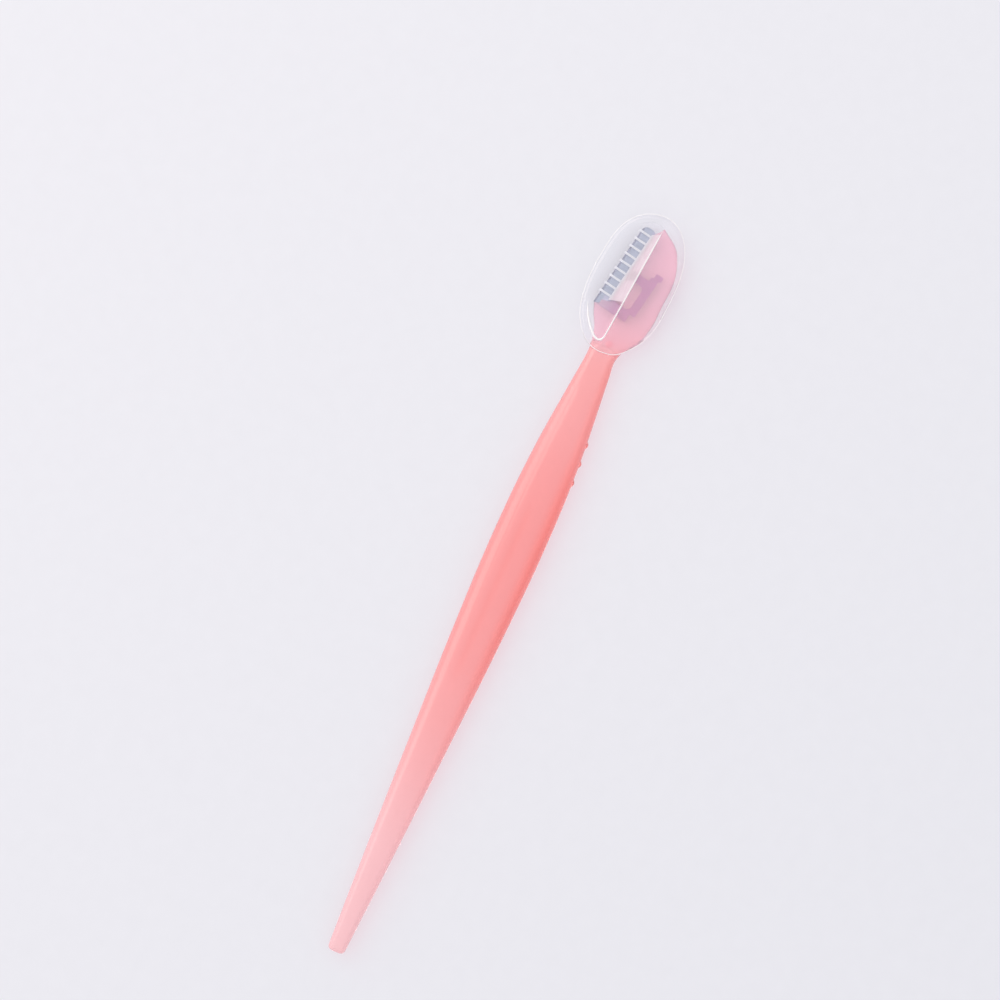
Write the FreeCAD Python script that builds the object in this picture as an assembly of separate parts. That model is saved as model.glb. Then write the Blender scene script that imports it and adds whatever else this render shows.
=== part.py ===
import FreeCAD, Part
import math
import os

# An eyebrow razor lying on its back: a translucent handle with the blade moulded into its head,
# a comb moulded over the cutting edge, and a clear cap pushed over the head.
# X runs along the handle towards the head, Y towards the cutting edge, Z up from the table.
# The origin is the middle of the flat under the handle's belly. Lengths are in millimetres.

# Handle bar, measured from the widest station of its belly
TAIL_REACH = 78.7
NECK_REACH = 36.0
BELLY_WIDTH = 9.6
TAIL_WIDTH = 3.1
NECK_WIDTH = 5.2
BELLY_THICKNESS = 5.2
TAIL_THICKNESS = 2.2
TAIL_LIFT = 1.4
REST_FLAT_DEPTH = 0.12
TAIL_ROUND = 0.8
NECK_BLEND = 2.0
NECK_SINK = 0.45
NECK_END_SHARE = 0.75
CROWN_SHARE = 0.55
TAIL_SIDE_SHARES = [(1.0, 1.0, 1.0), (0.9, 0.87, 0.88), (0.735, 0.69, 0.68), (0.49, 0.42, 0.38),
                    (0.245, 0.16, 0.11)]
NECK_SIDE_SHARES = [(0.27, 0.11, 0.08), (0.54, 0.4, 0.34), (0.8, 0.77, 0.76), (1.0, 1.0, 1.0)]

# Grip bumps on the spine edge of the bar
GRIP_BUMP_RADIUS = 0.6
GRIP_BUMP_PROUD = 0.35
GRIP_BUMP_PITCH = 3.55
GRIP_BUMP_FIRST = 13.5
GRIP_BUMP_COUNT = 3

# Head of the handle: a thick plate on the spine side, a thin land under the blade
HEAD_LENGTH = 24.9
HEAD_THICKNESS = 2.8
SPINE_REACH = 6.42
SPINE_ROUND = 0.7
LAND_THICKNESS = 1.0
STEP_ROOT_FROM_NECK = 3.5
STEP_ROOT_OFFSET = 0.85
STEP_TIP_OFFSET = -1.0
SPINE_SHARES = [(-0.06, -0.955), (0.02, -0.147), (0.1, 0.2), (0.19, 0.59), (0.31, 0.865), (0.5, 0.955),
                (0.68, 1.0), (0.81, 0.785), (0.92, 0.35)]
SPINE_WIDEST_INDEX = 6
LOBE_SHARES = [(-0.15, -0.5), (0.14, 0.0), (0.5, 0.25), (0.8, 0.72)]
VALLEY_FROM_LIP = 1.4
SHOULDER_FROM_LIP = 1.0
SHOULDER_SHARE = 0.9

# Detent button on the neck, which the cap's ring snaps over
RING_FROM_LIP = 1.75
RING_OFFSET = -0.35
RING_RADIUS = 1.1
RING_BORE_RADIUS = 0.65
RING_PROUD = 0.25
BUTTON_CLEARANCE = 0.15
BUTTON_HEIGHT = 0.1

# Blade, laid out in its own plan: along the cutting edge from the heel, and inwards from the edge
BLADE_TILT = 10.0
BLADE_LENGTH = 16.2
BLADE_TOE_MARGIN = 0.65
BLADE_THICKNESS = 0.3
HEEL_OFFSET = 5.25
EDGE_STRIP_WIDTH = 2.7
HEEL_BAND_WIDTH = 2.0
HEEL_BAND_REACH = 6.6
TANG_STRIP_WIDTH = 1.5
TANG_STRIP_REACH = 7.6
TANG_STRIP_END = 10.2
TANG_STRIP_LAP = 0.4
TANG_KNOB_LENGTH = 1.0
TANG_KNOB_SHIFT = 0.45
TANG_ARM_START = 6.8
TANG_ARM_WIDTH = 1.6
TANG_WINDOW_ROUND = 0.9
BLADE_TIP_ROUND = 1.1
BEVEL_WIDTH = 0.35
EDGE_THICKNESS = 0.04

# Comb moulded over the cutting edge
COMB_RIB_PITCH = 1.57
COMB_RIB_FIRST = 2.4
COMB_RIB_WIDTH = 0.4
COMB_RIB_HEIGHT = 0.35
COMB_NOSE = 0.3
COMB_SPINE_START = 2.0
COMB_SPINE_HEIGHT = 0.6
COMB_SPINE_CLEARANCE = 0.05
COMB_BACK_WIDTH = 0.5
COMB_END_MARGIN = 0.75
COMB_TOE_MARGIN = 1.0
LAND_CLEARANCE = 0.1
LAND_TIP_SETBACK = 0.45
LAND_HEEL_LAP = 1.2

# Clear cap pushed over the head
CAP_WALL = 0.8
CAP_CLEARANCE = 0.2
CAP_SPINE_WALL = 0.5
CAP_BLADE_WALL = 1.9
CAP_TIP_WALL = 1.55
CAP_TIP_CLEARANCE = 0.35
CAP_LIP_FROM_NECK = 0.65
CAP_ROUND = 0.7
CAP_OUTLINE_SHARES = [(0.0, 0.03), (0.02, 0.39), (0.095, 0.685), (0.2, 0.88), (0.33, 0.98), (0.47, 1.0),
                      (0.66, 0.94), (0.815, 0.82), (0.94, 0.52), (0.995, 0.13), (1.0, -0.11), (0.97, -0.435),
                      (0.893, -0.716), (0.778, -0.913), (0.625, -1.0), (0.434, -0.99), (0.28, -0.925),
                      (0.153, -0.737), (0.071, -0.506), (0.017, -0.267)]
CAP_BLADE_MOUTH_SHARE = 0.28
CAP_SPINE_MOUTH_SHARE = 0.36
PANEL_GAP = 0.25
PANEL_CLEARANCE = 0.5
PANEL_SHARES = [(0.078, 0.17), (0.07, 0.255), (0.094, 0.386), (0.147, 0.565), (0.21, 0.69), (0.277, 0.784),
                (0.415, 0.843), (0.625, 0.791), (0.797, 0.634), (0.9, 0.379), (0.94, 0.12)]
PANEL_RIB_SHARES = [(0.41, 0.44, 0.2), (0.63, 0.645, 0.09)]
PANEL_RIB_WIDTH = 0.3
PANEL_RIB_PROUD = 0.2
CUT_OVERRUN = 5.0

# Heights and places that follow from the sizes above
HEAD_BOTTOM = CAP_WALL + CAP_CLEARANCE
HEAD_TOP = HEAD_BOTTOM + HEAD_THICKNESS
HEAD_TIP = NECK_REACH + HEAD_LENGTH
BLADE_HEEL = HEAD_TIP - BLADE_TOE_MARGIN - BLADE_LENGTH * math.cos(math.radians(BLADE_TILT))
COMB_RIB_COUNT = 1 + int((BLADE_LENGTH - COMB_RIB_FIRST - COMB_TOE_MARGIN) / COMB_RIB_PITCH)
BLADE_BOTTOM = HEAD_BOTTOM + LAND_THICKNESS
BLADE_TOP = BLADE_BOTTOM + BLADE_THICKNESS
COMB_TOP = BLADE_TOP + COMB_SPINE_HEIGHT
STEP_ROOT = NECK_REACH + STEP_ROOT_FROM_NECK
CAP_LIP = NECK_REACH + CAP_LIP_FROM_NECK
CAP_TIP = HEAD_TIP + CAP_TIP_CLEARANCE + CAP_TIP_WALL
CAP_CEILING = HEAD_TOP + CAP_CLEARANCE
CAP_TOP = CAP_CEILING + CAP_WALL
CAP_BLADE_REACH = HEEL_OFFSET + COMB_NOSE + CAP_CLEARANCE + CAP_BLADE_WALL
CAP_SPINE_REACH = SPINE_REACH + CAP_CLEARANCE + CAP_SPINE_WALL
PANEL_CEILING = COMB_TOP + PANEL_CLEARANCE
PANEL_TOP = PANEL_CEILING + CAP_WALL
RING_X = CAP_LIP + RING_FROM_LIP


def point(x, y, z=0.0):
    return FreeCAD.Vector(x, y, z)


def curve(points):
    """One smooth edge through the points."""
    line = Part.BSplineCurve()
    line.interpolate(points)
    return line.toShape()


def prism(edges, bottom, top):
    """Upright solid on a closed plan outline, between two heights."""
    face = Part.Face(Part.Wire(edges))
    face.translate(point(0, 0, bottom))
    return face.extrude(point(0, 0, top - bottom))


def polygon(points):
    """Straight edges that close the plan points."""
    return Part.makePolygon(points + points[:1]).Edges


def blade_point(along, inward):
    """Plan place of a point on the blade, from its heel along the edge and inwards from the edge."""
    tilt = math.radians(BLADE_TILT)
    x = BLADE_HEEL + along * math.cos(tilt) - inward * math.sin(tilt)
    y = HEEL_OFFSET - along * math.sin(tilt) - inward * math.cos(tilt)
    return point(x, y)


def blade_block(start, end, near, far, bottom, top):
    """Upright block square to the cutting edge."""
    plan = [(start, near), (end, near), (end, far), (start, far)]
    corners = [blade_point(along, inward) for along, inward in plan]
    return prism(polygon(corners), bottom, top)


def step_offset(x):
    """Sideways place of the step between the thick plate and the land."""
    share = (x - STEP_ROOT) / (HEAD_TIP - STEP_ROOT)
    return STEP_ROOT_OFFSET + share * (STEP_TIP_OFFSET - STEP_ROOT_OFFSET)


def spine_point(shares, grow):
    """Point of the head's spine outline, moved outwards by grow; shares below zero lie within the neck."""
    half_neck = NECK_WIDTH / 2
    flare = SPINE_REACH + grow - half_neck if shares[1] > 0 else half_neck
    return point(NECK_REACH + shares[0] * (HEAD_LENGTH + grow), -half_neck - shares[1] * flare)


def bar_section(x, width, bottom, top):
    """Section across the bar: flat crown and underside joined by two bulging sides."""
    half = width / 2
    flat = half * CROWN_SHARE
    middle = (bottom + top) / 2
    crown = Part.makeLine(point(x, -flat, top), point(x, flat, top))
    blade_side = Part.Arc(point(x, flat, top), point(x, half, middle), point(x, flat, bottom)).toShape()
    underside = Part.makeLine(point(x, flat, bottom), point(x, -flat, bottom))
    spine_side = Part.Arc(point(x, -flat, bottom), point(x, -half, middle), point(x, -flat, top)).toShape()
    return Part.Wire([crown, blade_side, underside, spine_side])


def between(start, end, share):
    return start + share * (end - start)


def bar():
    """Tapering bar from the tail over the belly to the neck, with a flat to lie on."""
    belly_bottom = -REST_FLAT_DEPTH
    sections = []
    for reach_share, width_share, height_share in TAIL_SIDE_SHARES:
        bottom = between(belly_bottom, TAIL_LIFT, height_share)
        thickness = between(BELLY_THICKNESS, TAIL_THICKNESS, height_share)
        width = between(BELLY_WIDTH, TAIL_WIDTH, width_share)
        sections.append(bar_section(-reach_share * TAIL_REACH, width, bottom, bottom + thickness))
    sections.append(bar_section(0, BELLY_WIDTH, belly_bottom, belly_bottom + BELLY_THICKNESS))
    for reach_share, width_share, height_share in NECK_SIDE_SHARES:
        bottom = between(belly_bottom, HEAD_BOTTOM, height_share)
        top = between(belly_bottom + BELLY_THICKNESS, HEAD_TOP, height_share)
        width = between(BELLY_WIDTH, NECK_WIDTH, width_share)
        sections.append(bar_section(reach_share * NECK_REACH, width, bottom, top))
    end = NECK_REACH + NECK_BLEND
    end_width = NECK_END_SHARE * NECK_WIDTH
    sections.append(bar_section(end, end_width, HEAD_BOTTOM + NECK_SINK, HEAD_TOP - NECK_SINK))
    body = Part.makeLoft(sections, True)
    tail_edges = [edge for edge in body.Edges if edge.BoundBox.XMax < -TAIL_REACH + TAIL_ROUND]
    body = body.makeFillet(TAIL_ROUND, tail_edges)
    length = TAIL_REACH + NECK_REACH
    table = Part.makeBox(length, BELLY_WIDTH, REST_FLAT_DEPTH + CUT_OVERRUN)
    table.translate(point(-TAIL_REACH, -BELLY_WIDTH / 2, -REST_FLAT_DEPTH - CUT_OVERRUN))
    return body.cut(table)


def grip_bumps():
    """Small round bumps in a row on the spine edge of the bar."""
    bumps = []
    for index in range(GRIP_BUMP_COUNT):
        x = GRIP_BUMP_FIRST + index * GRIP_BUMP_PITCH
        share = x / NECK_REACH
        for low, high in zip([(0.0, 0.0, 0.0)] + NECK_SIDE_SHARES, NECK_SIDE_SHARES):
            if low[0] <= share <= high[0]:
                part_way = (share - low[0]) / (high[0] - low[0])
                width_share = between(low[1], high[1], part_way)
                height_share = between(low[2], high[2], part_way)
        half = between(BELLY_WIDTH, NECK_WIDTH, width_share) / 2
        bottom = between(-REST_FLAT_DEPTH, HEAD_BOTTOM, height_share)
        top = between(BELLY_THICKNESS - REST_FLAT_DEPTH, HEAD_TOP, height_share)
        centre = point(x, -half - GRIP_BUMP_PROUD + GRIP_BUMP_RADIUS, (bottom + top) / 2)
        bumps.append(Part.makeSphere(GRIP_BUMP_RADIUS, centre))
    return bumps


def thick_plate():
    """Spine side of the head, rounded along its outer edge and stepped along the blade side."""
    spine = [spine_point(shares, 0) for shares in SPINE_SHARES]
    tip = point(HEAD_TIP, STEP_TIP_OFFSET)
    start = point(spine[0].x, -spine[0].y)
    valley_x = CAP_LIP + VALLEY_FROM_LIP
    shoulder = point(CAP_LIP + SHOULDER_FROM_LIP, SHOULDER_SHARE * NECK_WIDTH / 2)
    inner = [tip, point(valley_x, step_offset(valley_x)), shoulder, start, spine[0]]
    edges = [curve(spine + [tip])]
    edges += [Part.makeLine(a, b) for a, b in zip(inner, inner[1:])]
    plate = prism(edges, HEAD_BOTTOM, HEAD_TOP)
    outer = [edge for edge in plate.Edges
             if edge.BoundBox.YMin < -SPINE_REACH / 2 and edge.BoundBox.ZLength < SPINE_ROUND]
    return plate.makeFillet(SPINE_ROUND, outer)


def land():
    """Thin plate on the blade side of the head that the blade lies on."""
    half_neck = NECK_WIDTH / 2
    bevel = BEVEL_WIDTH + LAND_CLEARANCE
    setback = COMB_SPINE_START + COMB_BACK_WIDTH / 2 + LAND_CLEARANCE
    corner = blade_point(0, LAND_CLEARANCE)
    lobe = []
    for x_share, y_share in LOBE_SHARES:
        lobe.append(point(between(NECK_REACH, corner.x, x_share), between(half_neck, corner.y, y_share)))
    lobe.append(corner)
    tip_x = HEAD_TIP - LAND_TIP_SETBACK
    outline = [
        corner,
        blade_point(0, bevel),
        blade_point(LAND_HEEL_LAP, bevel),
        blade_point(LAND_HEEL_LAP, setback),
        blade_point(BLADE_LENGTH - LAND_TIP_SETBACK, setback),
        point(tip_x, step_offset(tip_x)),
        point(STEP_ROOT, STEP_TIP_OFFSET),
        lobe[0],
    ]
    edges = [curve(lobe)]
    edges += [Part.makeLine(a, b) for a, b in zip(outline, outline[1:])]
    return prism(edges, HEAD_BOTTOM, BLADE_TOP)


def button():
    """Low detent button on the neck under the cap's ring."""
    radius = RING_BORE_RADIUS - BUTTON_CLEARANCE
    root = HEAD_THICKNESS / 2
    return Part.makeCylinder(radius, root + BUTTON_HEIGHT, point(RING_X, RING_OFFSET, HEAD_TOP - root))


def blade():
    """Stamped steel strip: ground edge, heel band, and a tang with a closed window and a hook that ends in a knob."""
    tang_inner = TANG_STRIP_REACH - TANG_STRIP_WIDTH
    arm_end = TANG_ARM_START + TANG_ARM_WIDTH
    strip = blade_block(0, BLADE_LENGTH, 0, EDGE_STRIP_WIDTH, BLADE_BOTTOM, BLADE_TOP)
    tip = [edge for edge in strip.Edges if edge.BoundBox.ZLength > BLADE_THICKNESS / 2
           and edge.BoundBox.Center.x > BLADE_HEEL + BLADE_LENGTH / 2]
    strip = strip.makeFillet(BLADE_TIP_ROUND, tip)
    band = blade_block(0, HEEL_BAND_WIDTH, 0, HEEL_BAND_REACH, BLADE_BOTTOM, BLADE_TOP)
    strip_start = HEEL_BAND_WIDTH - TANG_STRIP_LAP
    frame_plate = blade_block(strip_start, arm_end, 0, TANG_STRIP_REACH, BLADE_BOTTOM, BLADE_TOP)
    knob_start = TANG_STRIP_END - TANG_KNOB_LENGTH
    hook = blade_block(TANG_ARM_START, knob_start, tang_inner, TANG_STRIP_REACH, BLADE_BOTTOM, BLADE_TOP)
    knob = blade_block(knob_start, TANG_STRIP_END, tang_inner + TANG_KNOB_SHIFT,
                       TANG_STRIP_REACH + TANG_KNOB_SHIFT, BLADE_BOTTOM, BLADE_TOP)
    window = blade_block(HEEL_BAND_WIDTH, TANG_ARM_START, EDGE_STRIP_WIDTH, tang_inner,
                         BLADE_BOTTOM, BLADE_TOP)
    corners = [edge for edge in window.Edges if edge.BoundBox.ZLength > BLADE_THICKNESS / 2]
    window = window.makeFillet(TANG_WINDOW_ROUND, corners)
    steel = strip.fuse([band, frame_plate, hook, knob]).removeSplitter().cut(window)
    for surface, middle_side in ((BLADE_TOP, -1), (BLADE_BOTTOM, 1)):
        grind_depth = middle_side * (BLADE_THICKNESS - EDGE_THICKNESS) / 2
        start = blade_point(-BEVEL_WIDTH, 0)
        slope = grind_depth / BEVEL_WIDTH
        low = blade_point(-BEVEL_WIDTH, -BEVEL_WIDTH)
        high = blade_point(-BEVEL_WIDTH, BEVEL_WIDTH)
        profile = [
            point(low.x, low.y, surface + slope * 2 * BEVEL_WIDTH),
            point(high.x, high.y, surface),
            point(low.x, low.y, surface - grind_depth),
        ]
        run = blade_point(BLADE_LENGTH + BEVEL_WIDTH, 0) - start
        wedge = Part.Face(Part.Wire(polygon(profile))).extrude(run)
        steel = steel.cut(wedge)
    return steel


def comb_edge():
    """Ribs that wrap the cutting edge, joined by a spine on the face of the blade and one behind it."""
    last_rib = COMB_RIB_FIRST + (COMB_RIB_COUNT - 1) * COMB_RIB_PITCH
    spine_end = COMB_SPINE_START + COMB_BACK_WIDTH / 2
    pieces = []
    for index in range(COMB_RIB_COUNT):
        middle = COMB_RIB_FIRST + index * COMB_RIB_PITCH
        pieces.append(blade_block(
            middle - COMB_RIB_WIDTH / 2, middle + COMB_RIB_WIDTH / 2, -COMB_NOSE, spine_end,
            BLADE_BOTTOM - COMB_RIB_HEIGHT, BLADE_TOP + COMB_RIB_HEIGHT))
    start = COMB_RIB_FIRST - COMB_END_MARGIN
    end = last_rib + COMB_RIB_WIDTH
    pieces.append(blade_block(start, end, COMB_SPINE_START - COMB_BACK_WIDTH / 2, spine_end,
                              BLADE_BOTTOM - COMB_SPINE_HEIGHT, BLADE_BOTTOM))
    return pieces, start, end


def comb():
    """Natural plastic comb, its front spine filling the land up to the step of the thick plate."""
    pieces, start, end = comb_edge()
    heel = blade_point(start, COMB_SPINE_START)
    toe = blade_point(end, COMB_SPINE_START)
    heel_inner_x = heel.x + COMB_END_MARGIN
    toe_inner_x = toe.x + COMB_END_MARGIN
    spine = [
        heel,
        toe,
        point(toe_inner_x, step_offset(toe_inner_x) + COMB_SPINE_CLEARANCE),
        point(heel_inner_x, step_offset(heel_inner_x) + COMB_SPINE_CLEARANCE),
    ]
    pieces.append(prism(polygon(spine), BLADE_TOP, COMB_TOP))
    return pieces[0].fuse(pieces[1:]).removeSplitter()


def cap_point(shares):
    """Point of the cap's outline from shares of its length and of its reach on that side."""
    reach = CAP_BLADE_REACH if shares[1] > 0 else CAP_SPINE_REACH
    return point(between(CAP_LIP, CAP_TIP, shares[0]), shares[1] * reach)


def cap_cavity(ceiling):
    """Room for the head, never narrower towards the open end so that the cap pulls off."""
    shoulder = [spine_point(shares, CAP_CLEARANCE) for shares in SPINE_SHARES[SPINE_WIDEST_INDEX:]]
    widest = shoulder[0]
    open_end = CAP_LIP - CUT_OVERRUN
    edge_room = COMB_NOSE + CAP_CLEARANCE
    heel = blade_point(0, -edge_room)
    toe = blade_point(BLADE_LENGTH, -edge_room)
    tip = point(HEAD_TIP + CAP_TIP_CLEARANCE, STEP_TIP_OFFSET)
    crown = point(HEAD_TIP + CAP_TIP_CLEARANCE, toe.y - CAP_TIP_WALL)
    edges = [curve(shoulder + [tip])]
    outline = [tip, crown, toe, heel, point(open_end, heel.y), point(open_end, widest.y), widest]
    edges += [Part.makeLine(a, b) for a, b in zip(outline, outline[1:])]
    return prism(edges, CAP_WALL, ceiling)


def cap_panel(bottom, top):
    """Half-leaf area over the blade, straight along the step and curved along the cap's side."""
    root = point(STEP_ROOT, step_offset(STEP_ROOT) + PANEL_GAP)
    tip = point(HEAD_TIP, step_offset(HEAD_TIP) + PANEL_GAP)
    rim = [root] + [cap_point(shares) for shares in PANEL_SHARES] + [tip]
    return prism([curve(rim), Part.makeLine(tip, root)], bottom, top)


def cap_mouth():
    """Open sides of the cap near its lip, which leave a tongue in front of the neck and one behind."""
    length = CAP_TIP - CAP_LIP
    solids = []
    for share, side in ((CAP_BLADE_MOUTH_SHARE, CAP_BLADE_REACH), (CAP_SPINE_MOUTH_SHARE, -CAP_SPINE_REACH)):
        reach = side + math.copysign(CUT_OVERRUN, side)
        block = Part.makeBox(share * length + CUT_OVERRUN, abs(reach), CAP_CEILING - CAP_WALL)
        block.translate(point(CAP_LIP - CUT_OVERRUN, min(reach, 0), CAP_WALL))
        solids.append(block)
    return solids


def panel_ribs():
    """Short slanting ribs on the lowered panel, from the step outwards."""
    ribs = []
    for start_share, end_share, offset_share in PANEL_RIB_SHARES:
        start_x = between(CAP_LIP, CAP_TIP, start_share)
        start = point(start_x, step_offset(start_x) + PANEL_GAP)
        end = cap_point((end_share, offset_share))
        direction = (end - start).normalize()
        across = point(-direction.y, direction.x) * (PANEL_RIB_WIDTH / 2)
        corners = [start - across, end - across, end + across, start + across]
        ribs.append(prism(polygon(corners), PANEL_TOP - PANEL_RIB_PROUD, PANEL_TOP + PANEL_RIB_PROUD))
    return ribs


def cap():
    """Flat oval sheath: rounded shell, lowered panel over the blade, open mouth and a detent ring."""
    outline = Part.BSplineCurve()
    outline.interpolate([cap_point(shares) for shares in CAP_OUTLINE_SHARES], PeriodicFlag=True)
    shell = prism([outline.toShape()], 0, CAP_TOP)
    rims = [edge for edge in shell.Edges if edge.BoundBox.ZLength < CAP_ROUND]
    shell = shell.makeFillet(CAP_ROUND, rims)
    shell = shell.cut(cap_panel(PANEL_TOP, CAP_TOP + CUT_OVERRUN))
    panel_room = cap_panel(PANEL_CEILING, CAP_TOP)
    shell = shell.cut(cap_cavity(CAP_CEILING).cut(panel_room))
    mouth = [block.cut(panel_room) for block in cap_mouth()]
    shell = shell.cut(mouth)
    ring = Part.makeCylinder(RING_RADIUS, CAP_WALL + RING_PROUD, point(RING_X, RING_OFFSET, CAP_CEILING))
    bore = Part.makeCylinder(RING_BORE_RADIUS, CAP_WALL + RING_PROUD, point(RING_X, RING_OFFSET, CAP_CEILING))
    return shell.fuse([ring] + panel_ribs()).removeSplitter().cut(bore)


def handle(steel, guard):
    """One coral moulding, with the room that the blade and the comb take up in it."""
    body = bar().fuse([thick_plate(), land(), button()] + grip_bumps())
    return body.removeSplitter().cut([steel, guard])


def save(name, shape):
    solid = shape.Solids[0] if len(shape.Solids) == 1 else shape
    state = "valid" if solid.isValid() else "NOT VALID"
    print(name, len(shape.Solids), "solid", state, round(solid.Volume, 2))
    solid.exportStep("parts/" + name + ".step")


os.makedirs("parts", exist_ok=True)
steel = blade()
guard = comb().cut(steel)
save("blade", steel)
save("comb_guard", guard)
save("handle", handle(steel, guard))
save("cap", cap())
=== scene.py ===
import math
from types import SimpleNamespace
import bpy
import numpy as np
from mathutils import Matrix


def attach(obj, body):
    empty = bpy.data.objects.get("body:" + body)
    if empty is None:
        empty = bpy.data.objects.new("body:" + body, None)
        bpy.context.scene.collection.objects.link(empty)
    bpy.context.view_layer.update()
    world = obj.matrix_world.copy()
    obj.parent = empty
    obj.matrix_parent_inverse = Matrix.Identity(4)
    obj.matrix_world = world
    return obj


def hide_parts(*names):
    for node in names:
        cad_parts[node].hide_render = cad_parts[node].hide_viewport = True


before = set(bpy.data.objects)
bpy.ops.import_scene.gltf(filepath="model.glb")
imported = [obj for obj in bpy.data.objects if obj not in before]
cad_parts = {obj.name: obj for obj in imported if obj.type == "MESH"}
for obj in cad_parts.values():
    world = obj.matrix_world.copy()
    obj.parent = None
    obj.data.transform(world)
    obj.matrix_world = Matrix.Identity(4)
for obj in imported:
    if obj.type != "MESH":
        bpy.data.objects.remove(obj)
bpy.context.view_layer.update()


# Handle. A see-through coral bar, wide and thick at the belly, thin at the tail, moulded in one shot
# with its flat head: a thick plate on the spine side and a thin land that the blade lies on.
# Three small grip bumps stand on the spine edge, and a low button in front of the neck holds the cap.

MM = 0.001

# Rows along the bar: place, half width, underside and crown in millimetres, and how deep the coral is
BAR_ROWS = [
    (-78.7, 1.55, 1.40, 3.60, 0.38),
    (-70.8, 1.97, 1.22, 3.78, 0.38),
    (-57.8, 2.64, 0.91, 4.07, 0.42),
    (-38.6, 3.53, 0.46, 4.52, 0.74),
    (-19.3, 4.36, 0.05, 4.92, 0.96),
    (0.0, 4.80, -0.12, 5.08, 1.02),
    (9.7, 4.66, -0.03, 4.98, 1.00),
    (19.4, 4.13, 0.26, 4.65, 0.92),
    (28.8, 3.24, 0.73, 4.11, 0.88),
    (36.0, 2.60, 1.00, 3.80, 0.82),
    (41.0, 2.60, 1.00, 3.80, 0.48),
    (48.0, 2.60, 1.00, 3.80, 0.22),
    (61.0, 2.60, 1.00, 3.80, 0.16),
]

# Shares of the half width that the crown takes and falls by, and the round of the tail and runs of the neck
CROWN_SHARE = 0.55
CROWN_FALL_SHARE = 0.09
CROWN_FLAT_RUN = 8.0
TAIL_ROUND = 0.8
TAIL_TURN = math.radians(80)
NECK_END = 36.0
NECK_WIDENING = 3.0
NECK_TO_HEAD = (37.3, 38.5)

# Lines of the head from above: the spine, the lobe up to the blade's heel, the land's edge and the step
SPINE_ROWS = [
    (33.0, -2.76), (36.0, -2.55), (38.5, -3.36), (40.7, -4.85), (43.7, -5.90), (48.5, -6.25),
    (52.9, -6.42), (56.2, -5.60), (58.9, -3.94), (60.9, -1.02),
]
LOBE_ROWS = [(33.0, 2.76), (36.0, 2.58), (37.2, 2.62), (40.1, 3.24), (42.6, 4.44), (44.3, 5.12)]
LAND_EDGE = [
    (44.3, 5.12), (44.5, 4.36), (45.2, 4.18), (45.45, 2.66), (59.4, 0.20), (60.4, -0.75), (61.0, -0.98),
]
STEP_LINE = [(36.0, 1.43), (37.4, 1.30), (38.1, 0.97), (60.9, -1.0)]
STEP_WIDTH = 0.25
LAND_TOP = 2.15
LEAST_LAND = 0.05
LEAST_PLATE = 0.1
NARROW_LAND_SHARE = 0.4
RIM_ROUND = 0.3
SPINE_ROUND = 0.8
SPINE_ROUND_SHARE = 0.45
SPINE_SQUARENESS = 2.6
SPINE_SQUARING = (34.0, 40.0)

# The blade's heel corner and lean, and the film of coral over the heel, by distance from it towards the toe
BLADE_HEEL = (44.3, 5.25)
BLADE_TILT = math.radians(10)
HEEL_COVER = 0.3
HEEL_COVER_END = (1.9, 2.2)

# Grip bumps on the spine edge, the flute along the belly's crown, and the button
GRIP_BUMP_PLACES = (13.5, 17.05, 20.6)
GRIP_BUMP_REACH = 0.75
GRIP_BUMP_PROUD = 0.3
GRIP_BUMP_FALL = 1.5
FLUTE_ENDS = (-29.0, 10.0)
FLUTE_RUN_OUT = 8.0
FLUTE_SIDE = 0.6
FLUTE_WIDTH = 0.7
FLUTE_DEPTH = 0.05
BUTTON_PLACE = (38.4, -0.35)
BUTTON_RADIUS = 0.55
BUTTON_TOP_SHARE = 0.6
BUTTON_HEIGHT = 0.1

# Stretches of stations along the bar: start, end and spacing; then stations and columns of the other parts
STRETCHES = [
    (-77.9, 12.6, 1.0), (12.6, 21.6, 0.12), (21.6, 36.0, 0.6), (36.0, 40.0, 0.15), (40.0, 44.2, 0.3),
    (44.2, 45.6, 0.07), (45.6, 58.6, 0.4), (58.6, 60.85, 0.09),
]
TAIL_STATIONS = 8
CROWN_COLUMNS = 36
STEP_COLUMNS = 7
LAND_COLUMNS = 8
RIM_COLUMNS = 7
UNDERSIDE_COLUMNS = 12
SPINE_COLUMNS = 33

# Depth of the coral: paler over the land; painted deeper along the spine side, away from the lamp, and in
# the flute's groove, as painted shade
LAND_PALENESS = 0.6
SPINE_PAINTED_SHADE = 0.45
SPINE_BAND_SHARES = (0.35, 0.95)
FLUTE_PAINTED_SHADE = 0.12
CORAL_DEPTHS = (0.05, 1.45)

# Colours of the coral, and its clearness and roughness on the bar and in the head
CORAL_ON_BAR = "FFE7EC"
CORAL_IN_HEAD = "FFDCEC"
CORAL_DEEP = "FF9E97"
CORAL_FILM = "FFF5F6"
CORAL_BODY = "FF9C9E"
CORAL_ABSORPTION = 40.0
CORAL_CLEARNESS = (0.62, 0.74)
CORAL_ROUGHNESS = (0.07, 0.01)
POLYSTYRENE_IOR = 1.59

# Sizes of the flow streaks and of the haze, and what they add
FLOW_SIZE = 9.0
FLOW_DEEPENING = 0.1
HAZE_SIZE = 0.7
HAZE_ROUGHNESS = 0.05
HAZE_DEPTH = 0.02


def smooth_through(rows, x):
    """Cubic curve through rows, whose slope at each row is the weighted slope of its neighbours."""
    rows = np.array(rows)
    knots, values = rows[:, 0], rows[:, 1:]
    slopes = np.gradient(values, knots, axis=0)
    left = np.clip(np.searchsorted(knots, x) - 1, 0, len(knots) - 2)
    gap = (knots[left + 1] - knots[left])[:, None]
    t = np.clip((x - knots[left])[:, None] / gap, 0, 1)
    start, end = values[left], values[left + 1]
    pull = t * (1 - t) * gap
    rise = t * t * (3 - 2 * t)
    return start + (end - start) * rise + pull * (slopes[left] * (1 - t) - slopes[left + 1] * t)


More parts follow.
